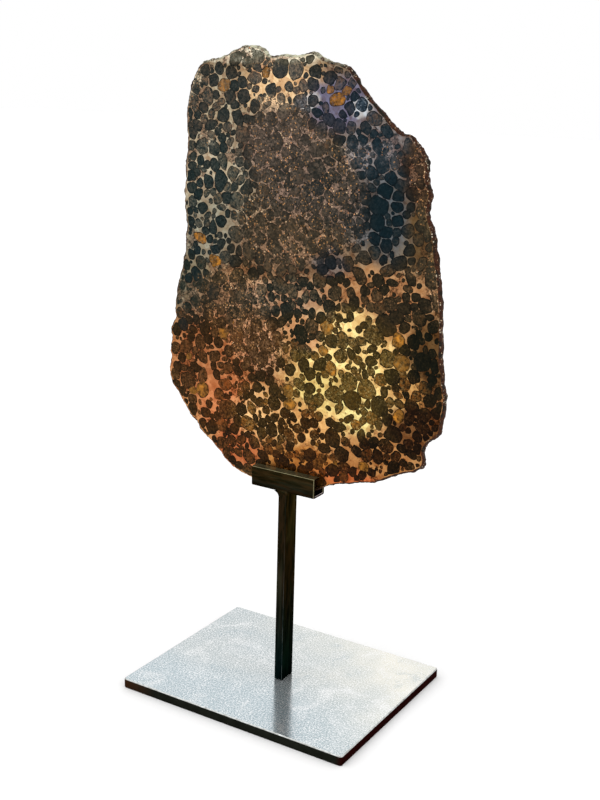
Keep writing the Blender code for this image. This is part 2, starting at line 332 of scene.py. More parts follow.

# How the tone drifts over the slice, in the metal mostly as painted reflections of the room, with painted
# highlight spots at (9, 364) and (44, 363): x, z, half width, half height, then the tone of the metal,
# of pale crystals and of dark ones, and the strength
TONE_AND_REFLECTION_PATCHES = (
    (10, 196, 150, 80, (200, 152, 100), (92, 70, 34), (42, 32, 11), 1),
    (-58, 358, 34, 30, (180, 168, 143), (106, 92, 76), (36, 45, 44), 1),
    (-58, 320, 32, 26, (190, 180, 157), (92, 92, 80), (27, 42, 42), 1),
    (-62, 286, 30, 24, (156, 152, 134), (76, 77, 68), (24, 38, 38), 1),
    (-72, 248, 18, 24, (130, 122, 102), (54, 54, 44), (26, 37, 32), 1),
    (-8, 374, 32, 16, (244, 212, 166), (106, 95, 82), (48, 53, 52), 1),
    (-20, 391, 56, 6, (246, 244, 222), (130, 124, 104), (80, 78, 64), 0.9),
    (30, 364, 26, 18, (116, 116, 144), (88, 82, 84), (32, 42, 54), 1),
    (58, 338, 26, 22, (132, 128, 130), (68, 68, 68), (24, 42, 50), 1),
    (58, 306, 30, 26, (92, 96, 100), (34, 44, 46), (8, 28, 35), 1),
    (88, 300, 14, 34, (104, 84, 56), (80, 68, 48), (42, 39, 29), 1),
    (9, 364, 9, 5, (220, 228, 234), (96, 96, 100), (20, 36, 44), 0.9),
    (44, 363, 7, 6, (210, 222, 232), (60, 80, 96), (16, 34, 46), 0.9),
    (-8, 339, 34, 26, (136, 115, 100), (86, 75, 65), (50, 47, 41), 1),
    (14, 312, 38, 28, (124, 104, 90), (72, 65, 55), (32, 36, 33), 1),
    (0, 282, 46, 22, (126, 101, 78), (76, 66, 50), (42, 39, 30), 1),
    (-38, 244, 34, 18, (130, 99, 72), (70, 56, 38), (32, 32, 22), 1),
    (-20, 220, 26, 20, (178, 134, 98), (84, 57, 26), (44, 27, 6), 1),
    (4, 252, 40, 13, (188, 154, 124), (90, 82, 64), (26, 33, 28), 1),
    (60, 262, 40, 18, (182, 138, 96), (72, 58, 38), (36, 32, 20), 1),
    (38, 214, 42, 36, (254, 224, 150), (116, 90, 38), (58, 46, 15), 1),
    (10, 234, 18, 13, (210, 162, 116), (88, 66, 40), (28, 30, 18), 1),
    (40, 238, 19, 14, (255, 228, 156), (124, 96, 48), (54, 44, 18), 1),
    (24, 200, 24, 16, (234, 212, 134), (104, 80, 32), (60, 46, 12), 0.9),
    (46, 192, 17, 17, (246, 232, 158), (122, 94, 40), (70, 52, 14), 0.9),
    (94, 230, 17, 28, (104, 78, 48), (36, 31, 17), (15, 17, 7), 1),
    (90, 186, 24, 20, (122, 84, 50), (54, 30, 8), (22, 9, 0), 1),
    (82, 209, 11, 9, (216, 172, 106), (104, 72, 28), (24, 18, 6), 0.85),
    (-60, 204, 34, 34, (182, 121, 79), (96, 64, 34), (48, 30, 8), 1),
    (-42, 178, 26, 22, (206, 132, 86), (118, 72, 32), (56, 31, 5), 1),
    (-16, 177, 24, 18, (242, 198, 138), (128, 93, 38), (46, 32, 6), 1),
    (14, 176, 24, 14, (226, 176, 112), (98, 62, 20), (42, 25, 3), 1),
    (24, 152, 50, 14, (184, 126, 64), (116, 72, 28), (42, 22, 3), 1),
    (62, 164, 28, 16, (182, 130, 78), (76, 42, 12), (20, 11, 0), 1),
    (46, 148, 30, 7, (200, 108, 64), (90, 50, 18), (36, 18, 4), 0.8),
    (-36, 152, 20, 14, (190, 108, 66), (86, 52, 20), (34, 20, 4), 0.9),
    (55, 367, 6, 6, (98, 70, 50), (66, 48, 34), (34, 26, 20), 0.9),
    (67, 358, 8, 6, (98, 70, 50), (66, 48, 34), (34, 26, 20), 0.9),
    (84, 336, 15, 26, (100, 72, 50), (70, 52, 36), (36, 28, 20), 0.9),
    (27, 275, 12, 9, (116, 108, 106), (50, 50, 54), (15, 26, 33), 0.85),
)

# Weathered brown band: x, z, half width, half height, strength
WEATHERED = (
    (-10, 346, 24, 26, 0.9), (10, 322, 44, 30, 1), (-9, 294, 40, 28, 1), (24, 296, 30, 15, 1),
    (-42, 246, 34, 20, 0.9), (-24, 222, 26, 20, 0.85), (46, 336, 34, 12, 0.6),
    (-22, 390, 34, 9, 0.5), (80, 272, 18, 12, 0.4), (-74, 372, 12, 14, 0.7), (-76, 236, 8, 26, 0.4),
    (88, 322, 9, 30, 0.85), (94, 276, 7, 24, 0.75), (-82, 330, 6, 22, 0.6), (-58, 338, 6, 5, 0.6),
    (-20, 168, 30, 9, 0.35), (20, 166, 40, 9, 0.35), (84, 338, 12, 22, 0.9), (64, 360, 10, 6, 0.85),
)

# Where brown rust fills the gaps between the crystals: x, z, half width, half height, strength
RUSTED_GAPS = (
    (-72, 345, 14, 34, 1), (-38, 345, 14, 24, 0.45), (-70, 378, 16, 12, 1), (-30, 386, 30, 8, 0.8),
    (-74, 285, 9, 16, 0.8), (-72, 242, 12, 20, 0.9), (-40, 262, 28, 12, 0.9), (-74, 200, 9, 24, 0.8),
    (-50, 166, 22, 12, 0.4), (0, 155, 50, 11, 0.35), (60, 158, 34, 10, 0.45), (97, 210, 9, 50, 0.8),
    (92, 285, 11, 30, 0.8), (24, 266, 44, 7, 0.6), (86, 330, 13, 22, 0.9), (-10, 208, 30, 14, 0.7),
    (62, 345, 18, 12, 0.6), (70, 255, 14, 10, 0.6), (-34, 196, 12, 20, 0.6),
)


def srgb(colour):
    """A colour given in 0 to 255 as linear light."""
    shares = (channel / 255 for channel in colour)
    return tuple(
        share / 12.92 if share <= 0.04045 else ((share + 0.055) / 1.055) ** 2.4 for share in shares
    )


# Settings that a user would change


def colour_property(name, description, colour):
    return FloatVectorProperty(
        name=name, description=description, subtype="COLOR", size=3, min=0, max=1, default=srgb(colour)
    )


class SliceSettings(bpy.types.PropertyGroup):
    seed: IntProperty(name="Seed", description="Draws another set of small crystals", default=11, min=0)
    film: FloatProperty(
        name="Metal film",
        description="Spread of the gap between crystals that touch",
        default=0.5 * MM,
        min=0,
        max=1 * MM,
        unit="LENGTH",
        precision=5,
    )
    band: FloatProperty(
        name="Dark border",
        description="Width of the darker border round a crystal",
        default=0.46 * MM,
        min=0.05 * MM,
        max=1 * MM,
        unit="LENGTH",
        precision=5,
    )
    face_roughness: FloatProperty(
        name="Polish",
        description="Roughness of the polished metal",
        default=0.3,
        min=0.05,
        max=1,
        subtype="FACTOR",
    )
    metal: colour_property("Metal", "Nickel iron where no other tone lies", (140, 124, 100))
    pale_olivine: colour_property("Pale olivine", "Pale crystals where no other tone lies", (78, 64, 44))
    dark_olivine: colour_property("Dark olivine", "Dark crystals where no other tone lies", (30, 31, 25))
    gold: colour_property("Golden olivine", "Clear olivine that shines through", (142, 95, 35))
    crust: colour_property("Crust", "Broken rim of the slice", (50, 30, 19))


class StandSettings(bpy.types.PropertyGroup):
    edge: FloatProperty(
        name="Edge rounding",
        description="Rounding of the tube's sharp edges",
        default=0.22 * MM,
        min=0.02 * MM,
        max=1 * MM,
        unit="LENGTH",
        precision=5,
    )
    holder: colour_property("Holder", "Oiled brown steel of the tube", (46, 33, 15))
    post: colour_property("Post", "Blackened steel of the bar", (26, 23, 14))
    plate_top: colour_property("Plate top", "Brushed top of the base plate", (204, 209, 208))
    plate_side: colour_property("Plate sides", "Dark scale on the plate's sides", (34, 36, 30))


class StageSettings(bpy.types.PropertyGroup):
    floor: colour_property("Floor", "Pale studio floor", (250, 250, 250))
    sky: FloatProperty(name="Surround", description="Brightness of the white room", default=1.0, min=0)
    lamps: FloatProperty(name="Lamps", description="Power of the soft lamps", default=1.0, min=0)


# Helpers for building materials


class Graph:
    """Adds and joins nodes of one tree, in the order in which they are asked for."""

    def __init__(self, tree):
        self.tree = tree

    def node(self, kind, **settings):
        node = self.tree.nodes.new(kind)
        for name, value in settings.items():
            setattr(node, name, value)
        return node

    def feed(self, socket, value):
        if isinstance(value, bpy.types.NodeSocket):
            self.tree.links.new(value, socket)
        elif isinstance(value, tuple) and len(value) == 3 and socket.type == "RGBA":
            socket.default_value = (*value, 1)
        else:
            socket.default_value = value

    def math(self, operation, first, second=0.0):
        node = self.node("ShaderNodeMath", operation=operation)
        self.feed(node.inputs[0], first)
        self.feed(node.inputs[1], second)
        return node.outputs[0]

    def times(self, first, second):
        return self.math("MULTIPLY", first, second)

    def plus(self, first, second):
        return self.math("ADD", first, second)

    def minus(self, first, second):
        return self.math("SUBTRACT", first, second)

    def vector(self, operation, first, second=None, scale=None):
        node = self.node("ShaderNodeVectorMath", operation=operation)
        self.feed(node.inputs[0], first)
        if second is not None:
            self.feed(node.inputs[1], second)
        if scale is not None:
            self.feed(node.inputs["Scale"], scale)
        return node.outputs["Value" if operation == "LENGTH" else "Vector"]

    def mix(self, share, first, second, blend="MIX"):
        node = self.node("ShaderNodeMix", data_type="RGBA", blend_type=blend)
        self.feed(node.inputs["Factor"], share)
        self.feed(node.inputs[6], first)
        self.feed(node.inputs[7], second)
        return node.outputs[2]

    def tinted(self, colour, factors):
        """A colour with its red, green and blue scaled."""
        return self.mix(1, colour, factors, "MULTIPLY")

    def span(self, value, low, high, out_low=0.0, out_high=1.0, smooth=False):
        node = self.node("ShaderNodeMapRange", clamp=True)
        node.interpolation_type = "SMOOTHSTEP" if smooth else "LINEAR"
        for name, number in zip(("From Min", "From Max", "To Min", "To Max"), (low, high, out_low, out_high)):
            self.feed(node.inputs[name], number)
        self.feed(node.inputs["Value"], value)
        return node.outputs["Result"]

    def noise(self, where, per_metre, detail=3, roughness=0.55, colour=False, distortion=0.0):
        node = self.node("ShaderNodeTexNoise")
        self.feed(node.inputs["Vector"], where)
        self.feed(node.inputs["Scale"], per_metre)
        self.feed(node.inputs["Detail"], detail)
        self.feed(node.inputs["Roughness"], roughness)
        self.feed(node.inputs["Distortion"], distortion)
        return node.outputs["Color" if colour else "Fac"]

    def cells(self, where, per_metre, output="Distance", feature="F1"):
        node = self.node("ShaderNodeTexVoronoi", feature=feature)
        self.feed(node.inputs["Vector"], where)
        self.feed(node.inputs["Scale"], per_metre)
        return node.outputs[output]

    def split(self, value, kind):
        """The parts of a colour (Color) or of a place (XYZ)."""
        node = self.node("ShaderNodeSeparate" + kind)
        self.feed(node.inputs[0], value)
        return node.outputs

    def place(self):
        return self.node("ShaderNodeTexCoord").outputs["Object"]

    def attribute(self, name):
        return self.node("ShaderNodeAttribute", attribute_name=name).outputs["Fac"]

    def bump(self, height, strength, depth):
        node = self.node("ShaderNodeBump")
        self.feed(node.inputs["Strength"], strength)
        self.feed(node.inputs["Distance"], depth)
        self.feed(node.inputs["Height"], height)
        return node.outputs["Normal"]

    def group(self, name, **values):
        node = self.node("ShaderNodeGroup", node_tree=bpy.data.node_groups[name])
        for key, value in values.items():
            self.feed(node.inputs[key], value)
        return node.outputs


def new_group(name, inputs, outputs):
    """An empty node group with its sockets, and the ends of its inside."""
    tree = bpy.data.node_groups.new(name, "ShaderNodeTree")
    for socket, kind, value in inputs:
        made = tree.interface.new_socket(socket, in_out="INPUT", socket_type=kind)
        if value is not None:
            made.default_value = value
    for socket, kind in outputs:
        tree.interface.new_socket(socket, in_out="OUTPUT", socket_type=kind)
    graph = Graph(tree)
    return graph, graph.node("NodeGroupInput").outputs, graph.node("NodeGroupOutput").inputs


def new_material(name, roughness=0.5, metallic=0.0, specular=0.5, ior=1.5):
    """A material with its shader's plain values set, and the graph and shader to build on."""
    material = bpy.data.materials.new(name)
    material.use_nodes = True
    shader = material.node_tree.nodes["Principled BSDF"]
    shader.inputs["Roughness"].default_value = roughness
    shader.inputs["Metallic"].default_value = metallic
    shader.inputs["Specular IOR Level"].default_value = specular
    shader.inputs["IOR"].default_value = ior
    return material, Graph(material.node_tree), shader.inputs


# Effects that several materials share


def soft_patch(graph, where, x, z, half_width, half_height):
    """1 at the patch's middle, falling to 0 a little outside its edge."""
    moved = graph.vector("SUBTRACT", where, (x * MM, 0, z * MM))
    flat = graph.vector("MULTIPLY", moved, (1 / (half_width * MM), 0, 1 / (half_height * MM)))
    return graph.span(graph.vector("LENGTH", flat), 1.25, 0.55, smooth=True)


def largest_patch(graph, where, patches):
    """The strongest of several soft patches at each place."""
    total = None
    for x, z, half_width, half_height, strength in patches:
        patch = graph.times(soft_patch(graph, where, x, z, half_width, half_height), strength)
        total = patch if total is None else graph.math("MAXIMUM", total, patch)
    return total


def wander(graph, where, size_mm, amount_mm):
    """The place, pushed about by a slow noise, so that soft edges aren't ellipses."""
    drift = graph.noise(where, 1000 / size_mm, 3, 0.6, colour=True)
    centred = graph.vector("SUBTRACT", drift, (0.5, 0.5, 0.5))
    return graph.vector("ADD", where, graph.vector("SCALE", centred, scale=amount_mm * 2 * MM))


def build_tone_and_reflection_group():
    """How metal and olivine change in tone by place; the metal's is mostly painted reflection and highlight.
    """
    names = ("Metal", "Pale olivine", "Dark olivine")
    graph, given, result = new_group(
        "slice_tones_and_painted_reflections",
        (("Vector", "NodeSocketVector", None), *((name, "NodeSocketColor", None) for name in names)),
        [(name, "NodeSocketColor") for name in names],
    )
    where = wander(graph, given["Vector"], 16, 9)
    colours = [given[name] for name in names]
    for x, z, half_width, half_height, *tones_and_reflections, strength in TONE_AND_REFLECTION_PATCHES:
        patch = soft_patch(graph, where, x, z, half_width, half_height)
        share = graph.times(patch, strength)
        colours = [graph.mix(share, colour, srgb(tone)) for colour, tone in zip(colours, tones_and_reflections)]
    for name, colour in zip(names, colours):
        graph.feed(result[name], colour)


def build_weathering_group():
    """Mask of the brown weathered band, with a ragged edge, and the rust in the gaps round it."""
    graph, given, result = new_group(
        "weathered_band",
        (("Vector", "NodeSocketVector", None),),
        (("Mask", "NodeSocketFloat"), ("Rust", "NodeSocketFloat")),
    )
    where = wander(graph, given["Vector"], 9, 7)
    total = largest_patch(graph, where, WEATHERED)
    gaps = largest_patch(graph, where, RUSTED_GAPS)
    open_metal = largest_patch(graph, given["Vector"], [(*pool, 1) for pool in OPEN_METAL])
    ragged = graph.noise(given["Vector"], 150, 5, 0.62)
    edge = graph.plus(total, graph.times(graph.minus(ragged, 0.5), 2.0))
    graph.feed(result["Mask"], graph.span(edge, 0.35, 0.85, smooth=True))
    rust = graph.plus(graph.times(total, 0.14), graph.times(gaps, 0.17))
    rust = graph.minus(rust, graph.times(open_metal, 0.2))
    rust = graph.plus(rust, graph.noise(given["Vector"], 180, 5, 0.66))
    graph.feed(result["Rust"], graph.span(rust, 0.58, 0.63))


def build_grain_group():
    """Crumbly grain of weathered iron, and bright flecks of metal in it here and there, painted light as
    glints.
    """
    graph, given, result = new_group(
        "iron_grain",
        (("Vector", "NodeSocketVector", None), ("Grains per metre", "NodeSocketFloat", 900.0)),
        (("Grain", "NodeSocketFloat"), ("Glinting flecks", "NodeSocketFloat"), ("Hue", "NodeSocketFloat")),
    )
    where, size = given["Vector"], given["Grains per metre"]
    coarse = graph.noise(where, graph.times(size, 0.72), 5, 0.75)
    draw = graph.split(graph.cells(where, size, "Color"), "Color")
    fine = graph.noise(where, graph.times(size, 2.2), 2, 0.6)
    crumbs = graph.times(graph.minus(draw[0], 0.5), 0.2)
    crumbs = graph.plus(crumbs, graph.times(graph.minus(fine, 0.5), 0.5))
    near = graph.span(graph.cells(where, size), 0.52, 0.3)
    drift = graph.noise(where, graph.times(size, 0.09), 3, 0.6)
    chosen = graph.span(graph.plus(draw[1], graph.times(drift, 0.9)), 1.23, 1.29)
    graph.feed(result["Grain"], graph.span(graph.plus(coarse, crumbs), 0.41, 0.59))
    # Bright flecks, painted light as glints
    graph.feed(result["Glinting flecks"], graph.times(near, chosen))
    graph.feed(result["Hue"], draw[2])


def build_steel_group():
    """Handling marks on steel: cloudy shade, fine pits and light smears."""
    graph, given, result = new_group(
        "steel_marks",
        (
            ("Vector", "NodeSocketVector", None),
            ("Cloud per metre", "NodeSocketFloat", 60.0),
            ("Grain direction", "NodeSocketVector", GRAIN_ALONG_Z),
        ),
        (("Cloud", "NodeSocketFloat"), ("Pits", "NodeSocketFloat"), ("Smears", "NodeSocketFloat")),
    )
    where, size = given["Vector"], given["Cloud per metre"]
    graph.feed(result["Cloud"], graph.span(graph.noise(where, size, 5, 0.6), 0.3, 0.7))
    graph.feed(result["Pits"], graph.span(graph.cells(where, graph.times(size, 14)), 0.1, 0.45))
    long_way = graph.vector("MULTIPLY", where, given["Grain direction"])
    smear = graph.noise(long_way, graph.times(size, 3), 3, 0.5, distortion=0.6)
    graph.feed(result["Smears"], graph.span(smear, 0.5, 0.72))


# Finishes of the slice


def tones_and_reflections_at(graph, where, settings):
    """The local tone of metal, pale olivine and dark olivine, the metal's mostly painted reflection."""
    given = {
        "Vector": where,
        "Metal": tuple(settings.metal),
        "Pale olivine": tuple(settings.pale_olivine),
        "Dark olivine": tuple(settings.dark_olivine),
    }
    return graph.group("slice_tones_and_painted_reflections", **given)


def polished_metal(settings):
    """Nickel iron of the polished faces: bright and brushed, its tone mostly painted reflection, brown and
    crumbly where weathered.
    """
    material, graph, shader = new_material("polished_nickel_iron", metallic=1.0, specular=0.08)
    where = graph.place()
    # The metal's tone is mostly painted reflection of the room, with painted highlight spots
    tones_and_reflections = tones_and_reflections_at(graph, where, settings)
    weathering = graph.group("weathered_band", Vector=where)
    band = weathering["Mask"]
    grain = graph.group("iron_grain", Vector=where)
    shade = graph.noise(where, 260, 4, 0.6)
    dimmed = graph.tinted(tones_and_reflections["Metal"], (0.84, 0.72, 0.6))
    lit = graph.tinted(tones_and_reflections["Metal"], (1.12, 1.12, 1.1))
    metal = graph.mix(graph.span(shade, 0.36, 0.62), dimmed, lit)
    swathe = graph.split(graph.cells(wander(graph, where, 5, 2), 210, "Color"), "Color")
    shaded = graph.tinted(metal, (0.6, 0.44, 0.36))
    metal = graph.mix(graph.span(swathe[0], 0.35, 0.95, 0, 0.7), metal, shaded)
    stain = graph.span(graph.noise(where, 420, 5, 0.7), 0.58, 0.68)
    stain = graph.math("MAXIMUM", graph.times(stain, 0.8), graph.times(weathering["Rust"], 0.92))
    dull = graph.tinted(graph.mix(0.55, tones_and_reflections["Pale olivine"], tones_and_reflections["Metal"]), (1.12, 0.82, 0.72))
    deep = graph.tinted(tones_and_reflections["Dark olivine"], (1.0, 0.72, 0.62))
    brown = graph.mix(grain["Grain"], deep, dull)
    metal = graph.mix(stain, metal, brown)
    light = graph.tinted(tones_and_reflections["Metal"], (1.5, 1.42, 1.38))
    rust = graph.mix(grain["Grain"], graph.tinted(tones_and_reflections["Dark olivine"], (0.8, 0.74, 0.7)), light)
    glint = graph.mix(graph.span(grain["Hue"], 0.3, 0.7), srgb(GLINT_PALE), srgb(GLINT_COPPER))
    rust = graph.mix(grain["Glinting flecks"], rust, glint)
    graph.feed(shader["Base Color"], graph.mix(band, metal, rust))
    polish = settings.face_roughness
    rough = graph.span(shade, 0.2, 0.8, polish - 0.06, polish + 0.08)
    graph.feed(shader["Roughness"], graph.plus(rough, graph.times(band, 0.3)))
    graph.feed(shader["Metallic"], graph.minus(1.0, graph.times(band, 0.5)))
    relief = graph.times(graph.plus(grain["Grain"], stain), graph.plus(band, 0.06))
    graph.feed(shader["Normal"], graph.bump(relief, 0.35, 0.12 * MM))
    return material


def crystal_surface(name, settings, amber):
    """Olivine cut flush with the metal: dark border, mottled inside, brown where weathered."""
    material, graph, shader = new_material(name, specular=0.04, ior=1.5)
    where = graph.place()
    tones_and_reflections = tones_and_reflections_at(graph, where, settings)
    band = graph.group("weathered_band", Vector=where)["Mask"]
    grain = graph.group("iron_grain", Vector=where)
    core, tone, kind = (graph.attribute(attribute) for attribute in ("core", "tone", "kind"))
    mottle = graph.noise(where, 560, 5, 0.7)
    cloud = graph.noise(where, 240, 3, 0.5)
    ragged = graph.times(graph.minus(mottle, 0.5), 0.7)
    inside = graph.span(graph.plus(core, ragged), 0.2, 0.55, smooth=True)
    border = graph.tinted(tones_and_reflections["Dark olivine"], (0.3, 0.3, 0.3))
    if amber:
        deep = graph.mix(graph.span(mottle, 0.42, 0.56), srgb(AMBER_DEEP), tuple(settings.gold))
        bright = graph.mix(graph.span(cloud, 0.54, 0.7), deep, srgb(AMBER_BRIGHT))
        body = graph.mix(graph.times(tone, 0.4), bright, tones_and_reflections["Pale olivine"])
    else:
        light = graph.span(mottle, 0.42, 0.59)
        dark = graph.mix(graph.span(mottle, 0.3, 0.6), border, tones_and_reflections["Dark olivine"])
        warm = graph.tinted(tones_and_reflections["Pale olivine"], (1.25, 0.86, 0.62))
        drawn_hue = graph.times(graph.math("FRACT", graph.times(tone, 7)), 0.7)
        hue = graph.plus(drawn_hue, graph.span(cloud, 0.4, 0.6, -0.2, 0.3))
        pale = graph.mix(light, tones_and_reflections["Dark olivine"], graph.mix(hue, tones_and_reflections["Pale olivine"], warm))
        range_of_kind = graph.span(kind, 0.1, 0.45, 0.28, 0.9)
        paleness = graph.plus(graph.span(kind, 0.1, 0.45, 0, 0.5), graph.times(tone, range_of_kind))
        body = graph.mix(graph.times(paleness, graph.span(cloud, 0.34, 0.6, 0.55, 1)), dark, pale)
        body = graph.mix(graph.span(kind, -0.1, -0.5, 0, 0.4), body, srgb(TEAL_TINT))
    light = graph.mix(0.35, tones_and_reflections["Pale olivine"], tones_and_reflections["Metal"])
    specks = graph.span(graph.noise(where, 1100, 3, 0.8), 0.55, 0.62, 0, 0.6)
    specks = graph.times(specks, graph.span(kind, 0.1, 0.45, 0.3, 1))
    colour = graph.mix(inside, border, graph.mix(specks, body, light))
    rusty = graph.mix(grain["Grain"], tones_and_reflections["Dark olivine"], light)
    # Bright flecks in the weathered band, painted as glints
    rusty = graph.mix(graph.times(grain["Glinting flecks"], 0.8), rusty, srgb(RUSTY_GLINT))
    worn = graph.times(band, graph.span(graph.noise(where, 250, 4, 0.65), 0.45, 0.6, 0.2, 0.9))
    graph.feed(shader["Base Color"], graph.mix(graph.times(worn, 0.4 if amber else 1.0), colour, rusty))
    graph.feed(shader["Roughness"], graph.span(mottle, 0.3, 0.75, 0.16, 0.4))
    cracks = graph.span(graph.cells(where, 520, feature="DISTANCE_TO_EDGE"), 0.0, 0.07)
    relief = graph.plus(graph.times(cracks, 0.5), mottle)
    graph.feed(shader["Normal"], graph.bump(relief, 0.22, 0.08 * MM))
    return material


def crust_surface(settings):
    """Broken rim: brown oxide crust with dark crystal stubs and bright torn metal, painted glints and a
    painted highlight along the top.
    """
    material, graph, shader = new_material("crust_rim", roughness=0.6, specular=0.1)
    where = graph.place()
    grain = graph.group("iron_grain", Vector=where, **{"Grains per metre": 1100.0})
    lumps = graph.noise(where, 210, 5, 0.62)
    stubs = graph.cells(where, 210)
    base = tuple(settings.crust)
    crust = graph.mix(graph.span(lumps, 0.34, 0.66), graph.tinted(base, (0.4, 0.38, 0.36)), base)
    crust = graph.mix(graph.times(grain["Grain"], 0.35), crust, srgb(CRUST_RUST))
    crust = graph.mix(graph.span(stubs, 0.42, 0.3), crust, srgb(CRYSTAL_STUB))
    torn = graph.span(graph.noise(where, 640, 3, 0.6), 0.63, 0.7)
    crust = graph.mix(torn, crust, srgb(TORN_METAL))
    drift = graph.span(graph.noise(where, 70, 3, 0.6), 0.5, 0.62)
    # Pale flecks on the rim, painted as glints
    crust = graph.mix(graph.times(grain["Glinting flecks"], drift), crust, srgb(CRUST_GLINT))
    # Top of the rim painted pale as a highlight
    painted_top_highlight = graph.times(soft_patch(graph, where, -22, 396, 70, 14), graph.span(lumps, 0.4, 0.56, 0, 0.9))
    crust = graph.mix(painted_top_highlight, crust, srgb(CRUST_TOP_HIGHLIGHT))
    graph.feed(shader["Base Color"], crust)
    graph.feed(shader["Metallic"], graph.times(torn, 0.9))
    graph.feed(shader["Roughness"], graph.span(grain["Grain"], 0, 1, 0.42, 0.75))
    relief = graph.plus(lumps, graph.times(grain["Grain"], 0.35))
    graph.feed(shader["Normal"], graph.bump(relief, 0.6, 0.4 * MM))
    return material


# Helpers for building meshes


def merged_copy(node):
    """A working copy of a CAD node with its triangles joined and its flat faces whole again."""
    bm = bmesh.new()
    bm.from_mesh(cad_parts[node].data)
    bmesh.ops.remove_doubles(bm, verts=bm.verts, dist=MERGE_DISTANCE)
    bmesh.ops.dissolve_limit(bm, angle_limit=FLAT_ANGLE, verts=bm.verts, edges=bm.edges)
    bm.normal_update()
    return bm


def finish_piece(name, bm, materials, node=None):
    mesh = bpy.data.meshes.new(name)
    bm.to_mesh(mesh)
    bm.free()
    for material in materials:
        mesh.materials.append(material)
    mesh.set_sharp_from_angle(angle=SHARP_ANGLE)
    mesh.polygons.foreach_set("use_smooth", [polygon.area < FLAT_AREA for polygon in mesh.polygons])
    piece = bpy.data.objects.new(name, mesh)
    bpy.context.scene.collection.objects.link(piece)
    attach(piece, BODY)
    if node:
        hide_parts(node)
    return piece


def round_edges(bm, width, segments, least_turn, clamped=False):
    """Rounds each edge where the surface turns by more than an angle."""
    sharp = [edge for edge in bm.edges if edge.calc_face_angle(0) > least_turn]
    bmesh.ops.bevel(
        bm,
        geom=sharp,
        offset=width,
        segments=segments,
        profile=0.5,
        affect="EDGES",
        material=-1,
        clamp_overlap=clamped,
    )
    bm.normal_update()


def flat_side(bm, direction):
    """The big flat face of the slice that looks along -Y or +Y."""
    facing = [face for face in bm.faces if face.normal.y * direction > FLAT_NORMAL]
    return max(facing, key=lambda face: face.calc_area())


# Shapes of the slice and its crystals


def roughened(place):
    """Outward push of a point of the broken rim."""
    return sum(height * MM * noise.noise(place / (size * MM)) for size, height in RIM_LUMPS)


def shape_slice_body():
    bm = merged_copy("slice")
    low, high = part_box("slice")
    sides = {flat_side(bm, -1), flat_side(bm, 1)}
    rim_edges = [edge for edge in bm.edges if any(face not in sides for face in edge.link_faces)]
    bmesh.ops.subdivide_edges(bm, edges=rim_edges, cuts=RIM_CUTS, use_grid_fill=True)
    bm.normal_update()
    faces = [flat_side(bm, -1), flat_side(bm, 1)]
    on_face = {vert for face in faces for vert in face.verts}
    moves = {}
    for vert in bm.verts:
        push = roughened(vert.co)
        outward = vert.normal.copy()
        if vert in on_face:
            outward.y = 0
            push *= RIM_AT_FACE
        moves[vert] = outward.normalized() * push
    for vert, move in moves.items():
        place = vert.co + move
        vert.co = [min(max(value, least), most) for value, least, most in zip(place, low, high)]
    for face, inward in zip(faces, (1, -1)):
        for vert in face.verts:
            vert.co.y += inward * FACE_RECESS
    for face in bm.faces:
        face.material_index = 0 if face in faces else 1
    bmesh.ops.recalc_face_normals(bm, faces=bm.faces)
    return bm


def outline_of_side(direction):
    """Corner points of a flat side as (x, z) in mm."""
    bm = merged_copy("slice")
    points = [(vert.co.x / MM, vert.co.z / MM) for vert in flat_side(bm, direction).verts]
    bm.free()
    return np.array(points)


class Outline:
    """The slice's edge: whether a point is inside, and its nearest places on the edge."""

    def __init__(self, points):
        self.start = points
        self.along = np.roll(points, -1, axis=0) - points
        self.length = (self.along**2).sum(axis=1)

    def contains(self, x, z):
        x1, z1 = self.start.T
        x2, z2 = (self.start + self.along).T
        crossed = (z1 > z) != (z2 > z)
        rise = np.where(z2 == z1, 1, z2 - z1)
        return bool(np.count_nonzero(crossed & (x < (x2 - x1) * (z - z1) / rise + x1)) % 2)

    def nearest(self, x, z):
        """Vectors from the point to each edge's nearest place, with their lengths."""
        point = np.array((x, z))
        share = ((point - self.start) * self.along).sum(axis=1) / self.length
        gap = self.start + self.along * np.clip(share, 0, 1)[:, None] - point
        return gap, np.hypot(*gap.T)


